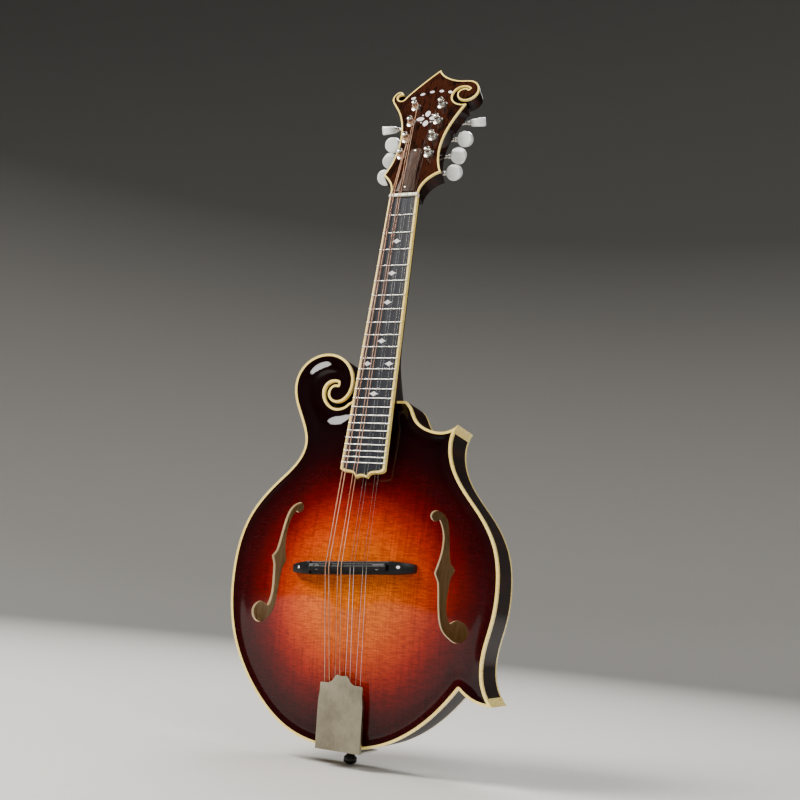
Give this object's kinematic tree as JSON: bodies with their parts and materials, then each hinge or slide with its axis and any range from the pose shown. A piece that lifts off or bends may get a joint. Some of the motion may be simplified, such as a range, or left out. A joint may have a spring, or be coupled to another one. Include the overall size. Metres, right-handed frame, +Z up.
{
  "type": "mandolin",
  "caption": "Arch-topped mandolin with a body scroll and points, f-shaped sound holes, scrolled headstock with geared tuners, adjustable bridge and sliding tailpiece cover.",
  "frame": {"origin": "middle of the end pin's head, on the pin's axis", "axes": "+Z up along the body towards the headstock, -Y out of the face, +X to the treble side; the instrument stands upright"},
  "size_m": [0.2557, 0.1124, 0.6882],
  "materials": {
    "spruce_sunburst": "gloss lacquer",
    "maple_back": "gloss lacquer",
    "maple_ribs": "gloss lacquer",
    "maple_neck": "gloss lacquer",
    "inner_wood": "raw",
    "ivoroid": "polished",
    "ebony": "satin",
    "rosewood": "gloss lacquer",
    "cover_wood": "satin",
    "pearl": "polished shell",
    "pearloid": "pearly",
    "bone": "polished",
    "fret_wire": "polished",
    "nickel": "polished",
    "brushed_nickel": "aged, brushed",
    "steel": "bright",
    "brass": "bright",
    "pin_black": "polished",
    "bronze_string": "wound bronze",
    "steel_string": "plain"
  },
  "bodies": {
    "root": {"top_plate": "spruce_sunburst", "back_plate": "maple_back", "ribs": "maple_ribs", "point_caps": "ivoroid", "point_blocks": "inner_wood", "head_block": "inner_wood", "tail_block": "inner_wood", "rim_linings": "inner_wood", "tone_bars": "inner_wood", "top_binding": "ivoroid", "back_binding": "ivoroid", "neck": "maple_neck", "fingerboard": "ebony", "fingerboard_binding": "ivoroid", "fret_markers": "pearl", "frets": "fret_wire", "truss_rod": "steel", "headstock_veneer": "rosewood", "headstock_binding": "ivoroid", "headstock_inlay": "pearl", "truss_rod_cover": "cover_wood", "nut": "bone", "tuner_plates": "nickel", "tuner_bushings": "nickel", "bridge_base": "ebony", "tailpiece_base": "nickel", "end_pin": "pin_black", "strings_wound": "bronze_string", "strings_plain": "steel_string", "screws": "nickel"},
    "saddle": {"bridge_saddle": "ebony"},
    "height_screw_bass": {"height_screw_bass": "steel"},
    "height_screw_treble": {"height_screw_treble": "steel"},
    "tailpiece_cover": {"tailpiece_cover": "brushed_nickel"},
    "truss_rod_nut": {"truss_rod_nut": "brass"},
    "worm_bass_1": {"worm_bass_1": "nickel", "button_bass_1": "pearloid"},
    "post_bass_1": {"post_bass_1": "nickel"},
    "worm_bass_2": {"worm_bass_2": "nickel", "button_bass_2": "pearloid"},
    "post_bass_2": {"post_bass_2": "nickel"},
    "worm_bass_3": {"worm_bass_3": "nickel", "button_bass_3": "pearloid"},
    "post_bass_3": {"post_bass_3": "nickel"},
    "worm_bass_4": {"worm_bass_4": "nickel", "button_bass_4": "pearloid"},
    "post_bass_4": {"post_bass_4": "nickel"},
    "worm_treble_1": {"worm_treble_1": "nickel", "button_treble_1": "pearloid"},
    "post_treble_1": {"post_treble_1": "nickel"},
    "worm_treble_2": {"worm_treble_2": "nickel", "button_treble_2": "pearloid"},
    "post_treble_2": {"post_treble_2": "nickel"},
    "worm_treble_3": {"worm_treble_3": "nickel", "button_treble_3": "pearloid"},
    "post_treble_3": {"post_treble_3": "nickel"},
    "worm_treble_4": {"worm_treble_4": "nickel", "button_treble_4": "pearloid"},
    "post_treble_4": {"post_treble_4": "nickel"}
  },
  "joints": [
    {"name": "saddle_lift", "type": "slide", "parent": "root", "child": "saddle", "axis": [0, -1, 0], "range_m": [-0.0007, 0.0007], "deforming": ["strings_wound", "strings_plain"]},
    {"name": "height_screw_bass_turn", "type": "hinge", "parent": "saddle", "child": "height_screw_bass", "pos_m": [-0.02793, -0.0465, 0.15845], "axis": [0, -1, 0], "range_deg": [-361, 361]},
    {"name": "height_screw_treble_turn", "type": "hinge", "parent": "saddle", "child": "height_screw_treble", "pos_m": [0.02793, -0.0465, 0.16245], "axis": [0, -1, 0], "range_deg": [-361, 361]},
    {"name": "tailpiece_cover_slide", "type": "slide", "parent": "root", "child": "tailpiece_cover", "axis": [0, -0.1949, 0.9808], "range_m": [0, 0.018]},
    {"name": "truss_rod_nut_turn", "type": "hinge", "parent": "root", "child": "truss_rod_nut", "pos_m": [0, -0.00536, 0.52378], "axis": [0, 0.0958, 0.9954], "range_deg": [-180, 180]},
    {"name": "button_bass_1_turn", "type": "hinge", "parent": "root", "child": "worm_bass_1", "pos_m": [-0.03, 0.01811, 0.55365], "axis": [-1, 0, 0], "continuous": true},
    {"name": "post_bass_1_turn", "type": "hinge", "parent": "root", "child": "post_bass_1", "pos_m": [-0.0142, 0.00202, 0.56752], "axis": [0, -0.9426, 0.3338], "continuous": true},
    {"name": "button_bass_2_turn", "type": "hinge", "parent": "root", "child": "worm_bass_2", "pos_m": [-0.03, 0.02579, 0.57533], "axis": [-1, 0, 0], "continuous": true},
    {"name": "post_bass_2_turn", "type": "hinge", "parent": "root", "child": "post_bass_2", "pos_m": [-0.0142, 0.0097, 0.5892], "axis": [0, -0.9426, 0.3338], "continuous": true},
    {"name": "button_bass_3_turn", "type": "hinge", "parent": "root", "child": "worm_bass_3", "pos_m": [-0.03, 0.03347, 0.59701], "axis": [-1, 0, 0], "continuous": true},
    {"name": "post_bass_3_turn", "type": "hinge", "parent": "root", "child": "post_bass_3", "pos_m": [-0.0142, 0.01737, 0.61088], "axis": [0, -0.9426, 0.3338], "continuous": true},
    {"name": "button_bass_4_turn", "type": "hinge", "parent": "root", "child": "worm_bass_4", "pos_m": [-0.03, 0.04115, 0.61869], "axis": [-1, 0, 0], "continuous": true},
    {"name": "post_bass_4_turn", "type": "hinge", "parent": "root", "child": "post_bass_4", "pos_m": [-0.0142, 0.02505, 0.63256], "axis": [0, -0.9426, 0.3338], "continuous": true},
    {"name": "button_treble_1_turn", "type": "hinge", "parent": "root", "child": "worm_treble_1", "pos_m": [0.03, 0.01811, 0.55365], "axis": [1, 0, 0], "continuous": true},
    {"name": "post_treble_1_turn", "type": "hinge", "parent": "root", "child": "post_treble_1", "pos_m": [0.0142, 0.00202, 0.56752], "axis": [0, -0.9426, 0.3338], "continuous": true},
    {"name": "button_treble_2_turn", "type": "hinge", "parent": "root", "child": "worm_treble_2", "pos_m": [0.03, 0.02579, 0.57533], "axis": [1, 0, 0], "continuous": true},
    {"name": "post_treble_2_turn", "type": "hinge", "parent": "root", "child": "post_treble_2", "pos_m": [0.0142, 0.0097, 0.5892], "axis": [0, -0.9426, 0.3338], "continuous": true},
    {"name": "button_treble_3_turn", "type": "hinge", "parent": "root", "child": "worm_treble_3", "pos_m": [0.03, 0.03347, 0.59701], "axis": [1, 0, 0], "continuous": true},
    {"name": "post_treble_3_turn", "type": "hinge", "parent": "root", "child": "post_treble_3", "pos_m": [0.0142, 0.01737, 0.61088], "axis": [0, -0.9426, 0.3338], "continuous": true},
    {"name": "button_treble_4_turn", "type": "hinge", "parent": "root", "child": "worm_treble_4", "pos_m": [0.03, 0.04115, 0.61869], "axis": [1, 0, 0], "continuous": true},
    {"name": "post_treble_4_turn", "type": "hinge", "parent": "root", "child": "post_treble_4", "pos_m": [0.0142, 0.02505, 0.63256], "axis": [0, -0.9426, 0.3338], "continuous": true}
  ],
  "couplings": [
    {"joint": "height_screw_bass_turn", "follows": "saddle_lift", "rad_per_m": 8976},
    {"joint": "height_screw_treble_turn", "follows": "saddle_lift", "rad_per_m": 8976},
    {"joint": "post_bass_1_turn", "follows": "button_bass_1_turn", "ratio": -0.066667},
    {"joint": "post_bass_2_turn", "follows": "button_bass_2_turn", "ratio": -0.066667},
    {"joint": "post_bass_3_turn", "follows": "button_bass_3_turn", "ratio": -0.066667},
    {"joint": "post_bass_4_turn", "follows": "button_bass_4_turn", "ratio": -0.066667},
    {"joint": "post_treble_1_turn", "follows": "button_treble_1_turn", "ratio": 0.066667},
    {"joint": "post_treble_2_turn", "follows": "button_treble_2_turn", "ratio": 0.066667},
    {"joint": "post_treble_3_turn", "follows": "button_treble_3_turn", "ratio": 0.066667},
    {"joint": "post_treble_4_turn", "follows": "button_treble_4_turn", "ratio": 0.066667}
  ]
}
